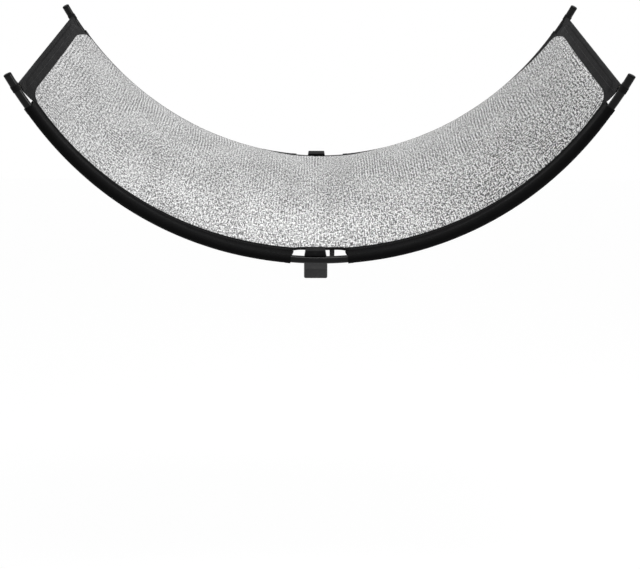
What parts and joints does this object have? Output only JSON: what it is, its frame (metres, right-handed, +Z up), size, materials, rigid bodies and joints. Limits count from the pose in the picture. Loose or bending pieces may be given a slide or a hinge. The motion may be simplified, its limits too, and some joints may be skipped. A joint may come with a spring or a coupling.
{
  "type": "curved panel reflector",
  "caption": "Arched rectangular reflector with a silver cloth stretched between curved tube rails, on a tilting bracket with a socket for a light stand stud.",
  "frame": {"origin": "centre of the stand socket's mouth, on the bottom face of the stand block", "axes": "+Z up along the stand, +X along the arch's span to the right, +Y to the rear, towards the raised edge"},
  "size_m": [1.4238, 0.7343, 0.744],
  "materials": {
    "silver_cloth": "crinkled metallic weave",
    "black_cloth": "matt woven nylon",
    "black_tube": "satin black coating",
    "bare_aluminium": "plain",
    "black_plastic": "fine grain",
    "cast_block": "textured dark grey paint",
    "steel": "zinc plated",
    "brass": "turned",
    "friction_fibre": "pressed fibre",
    "batten_rod": "drawn glass fibre rod"
  },
  "bodies": {
    "stand_adapter": {"stand_block": "cast_block", "pivot_bolt": "steel", "friction_washers": "friction_fibre", "stand_lock_bush": "brass"},
    "panel": {"silver_cloth": "silver_cloth", "base_cloth": "black_cloth", "front_left_sleeve": "black_cloth", "front_right_sleeve": "black_cloth", "rear_left_sleeve": "black_cloth", "rear_right_sleeve": "black_cloth", "left_end_hem": "black_cloth", "right_end_hem": "black_cloth", "left_end_batten": "batten_rod", "right_end_batten": "batten_rod", "corner_loops": "black_cloth", "front_centre_tube": "black_tube", "rear_centre_tube": "black_tube", "front_clip": "black_plastic", "rear_clip": "black_plastic", "front_clip_screws": "steel", "rear_clip_screws": "steel", "cross_bar": "black_tube", "bar_screws": "steel", "tilt_tongue": "cast_block", "tongue_screws": "steel"},
    "clamp_washer": {"knob_washer": "steel"},
    "tilt_lock": {"tilt_knob": "black_plastic", "tilt_knob_insert": "brass"},
    "lock_shoe": {"stand_lock_shoe": "brass"},
    "lock_screw": {"stand_lock_screw": "steel", "stand_lock_knob": "black_plastic"},
    "front_left": {"front_left_rail": "black_tube", "front_left_ferrule": "bare_aluminium", "front_left_rivet": "steel", "front_left_cap": "black_plastic"},
    "front_right": {"front_right_rail": "black_tube", "front_right_ferrule": "bare_aluminium", "front_right_rivet": "steel", "front_right_cap": "black_plastic"},
    "rear_left": {"rear_left_rail": "black_tube", "rear_left_ferrule": "bare_aluminium", "rear_left_rivet": "steel", "rear_left_cap": "black_plastic"},
    "rear_right": {"rear_right_rail": "black_tube", "rear_right_ferrule": "bare_aluminium", "rear_right_rivet": "steel", "rear_right_cap": "black_plastic"}
  },
  "joints": [
    {"name": "tilt", "type": "hinge", "parent": "stand_adapter", "child": "panel", "pos_m": [0, 0, 0.088], "axis": [1, 0, 0], "range_deg": [-54, 66]},
    {"name": "tilt_lock_travel", "type": "slide", "parent": "stand_adapter", "child": "clamp_washer", "axis": [1, 0, 0], "range_m": [0, 0.0025]},
    {"name": "tilt_lock_turn", "type": "hinge", "parent": "clamp_washer", "child": "tilt_lock", "pos_m": [0.04, 0, 0.088], "axis": [1, 0, 0], "range_deg": [0, 720]},
    {"name": "stand_lock_travel", "type": "slide", "parent": "stand_adapter", "child": "lock_shoe", "axis": [0, 1, 0], "range_m": [0, 0.005]},
    {"name": "stand_lock_turn", "type": "hinge", "parent": "lock_shoe", "child": "lock_screw", "pos_m": [0, 0.04, 0.019], "axis": [0, 1, 0], "range_deg": [0, 1440]},
    {"name": "front_left_pull_out", "type": "hinge", "parent": "panel", "child": "front_left", "pos_m": [0.01, -0.48185, 0.78611], "axis": [0, 0.9354, 0.3535], "range_deg": [0, 4.65]},
    {"name": "front_right_pull_out", "type": "hinge", "parent": "panel", "child": "front_right", "pos_m": [0.01, -0.48185, 0.78611], "axis": [0, -0.9354, -0.3535], "range_deg": [0, 4.65]},
    {"name": "rear_left_pull_out", "type": "hinge", "parent": "panel", "child": "rear_left", "pos_m": [0.01, -0.01366, 0.99456], "axis": [0, 0.8886, 0.4586], "range_deg": [0, 4.65]},
    {"name": "rear_right_pull_out", "type": "hinge", "parent": "panel", "child": "rear_right", "pos_m": [0.01, -0.01366, 0.99456], "axis": [0, -0.8886, -0.4586], "range_deg": [0, 4.65]}
  ],
  "couplings": [
    {"joint": "tilt_lock_travel", "follows": "tilt_lock_turn", "m_per_rad": 0.00019894},
    {"joint": "stand_lock_travel", "follows": "stand_lock_turn", "m_per_rad": 0.00019894}
  ]
}
